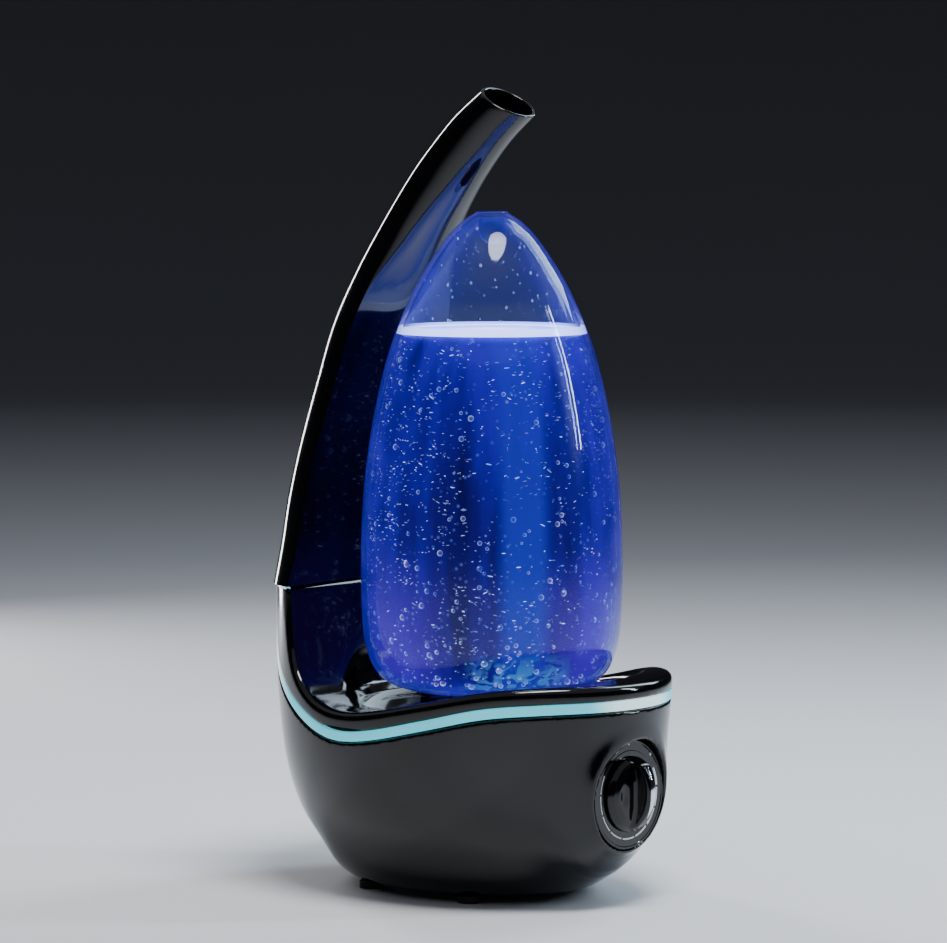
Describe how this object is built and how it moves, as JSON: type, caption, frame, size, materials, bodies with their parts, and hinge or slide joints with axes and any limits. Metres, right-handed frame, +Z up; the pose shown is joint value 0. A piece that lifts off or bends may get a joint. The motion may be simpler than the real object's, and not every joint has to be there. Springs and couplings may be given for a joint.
{
  "type": "cool mist humidifier",
  "caption": "Egg-shaped translucent water tank on an oval base, with a tusk-shaped mist arm rising behind it, a front mist knob and a light strip under the rim.",
  "frame": {"origin": "on the surface it stands on, under the middle of the outline", "axes": "+Z up; -Y is the front, with the knob and the tip of the mist arm; the X = 0 plane is the outside's plane of symmetry"},
  "size_m": [0.1746, 0.2328, 0.4171],
  "materials": {
    "gloss_black": "high gloss black moulded ABS",
    "strip_diffuser": "lit translucent diffuser",
    "dark_plastic": "fine textured",
    "grey_plastic": "moulded",
    "black_rubber": "matte",
    "zinc_steel": "zinc plated",
    "brass": "turned",
    "white_plastic": "moulded polypropylene",
    "silicone": "soft, translucent",
    "circuit_board": "solder mask",
    "aluminium": "extruded",
    "clear_lens": "clear acrylic",
    "chrome_trim": "polished",
    "tank_blue": "clear blue moulded tank",
    "float_foam": "closed cell foam"
  },
  "bodies": {
    "base": {"lower_housing": "gloss_black", "rim_cover": "gloss_black", "light_strip": "strip_diffuser", "dial_plate": "gloss_black", "bottom_plate": "dark_plastic", "chassis": "grey_plastic", "foot_1": "black_rubber", "foot_2": "black_rubber", "foot_3": "black_rubber", "foot_4": "black_rubber", "plate_screw_1": "zinc_steel", "plate_screw_2": "zinc_steel", "plate_screw_3": "zinc_steel", "plate_screw_4": "zinc_steel", "potentiometer": "zinc_steel", "pot_nut": "brass", "water_trough": "white_plastic", "trough_seal": "silicone", "transducer_disc": "zinc_steel", "transducer_gasket": "black_rubber", "transducer_holder": "dark_plastic", "float_pin": "white_plastic", "valve_pin": "white_plastic", "fan_frame": "dark_plastic", "fan_hood": "dark_plastic", "air_pipe": "dark_plastic", "driver_board": "circuit_board", "heat_sink": "aluminium", "inductor": "dark_plastic", "standoff_1": "brass", "standoff_2": "brass", "standoff_3": "brass", "standoff_4": "brass", "power_inlet": "dark_plastic", "led_board": "circuit_board", "led_lens": "clear_lens", "tank_pad_1": "dark_plastic", "tank_pad_2": "dark_plastic", "tank_pad_3": "dark_plastic"},
    "knob": {"control_knob": "gloss_black", "knob_shaft": "zinc_steel", "knob_trim": "chrome_trim"},
    "arm": {"mist_arm": "gloss_black", "arm_spigot": "gloss_black"},
    "tank": {"tank_shell": "tank_blue", "tank_crown": "tank_blue"},
    "cap": {"tank_cap": "dark_plastic", "cap_seal": "silicone", "valve_spring": "zinc_steel"},
    "valve": {"valve_plunger": "white_plastic", "valve_disc": "silicone"},
    "float": {"float_ring": "float_foam"},
    "fan_blades": {"fan_rotor": "dark_plastic"}
  },
  "joints": [
    {"name": "knob_turn", "type": "hinge", "parent": "base", "child": "knob", "pos_m": [0, -0.1026, 0.058], "axis": [0, 1, 0], "range_deg": [-135, 135]},
    {"name": "arm_lift", "type": "slide", "parent": "base", "child": "arm", "axis": [0, 0, 1], "range_m": [0, 0.06]},
    {"name": "tank_lift", "type": "slide", "parent": "base", "child": "tank", "axis": [0, -0.6691, 0.7431], "range_m": [0, 0.16]},
    {"name": "cap_turn", "type": "hinge", "parent": "tank", "child": "cap", "pos_m": [0, -0.0096, 0.1], "axis": [0, 0, 1], "range_deg": [0, 60]},
    {"name": "valve_lift", "type": "slide", "parent": "cap", "child": "valve", "axis": [0, 0, 1], "range_m": [0, 0.004], "stiffness_N_per_m": 60, "springref_m": -0.004, "deforming": ["valve_spring"]},
    {"name": "float_rise", "type": "slide", "parent": "base", "child": "float", "axis": [0, 0, 1], "range_m": [0, 0.012]},
    {"name": "fan_spin", "type": "hinge", "parent": "base", "child": "fan_blades", "pos_m": [0, 0.0034, 0.0185], "axis": [0, 0, 1], "continuous": true}
  ]
}
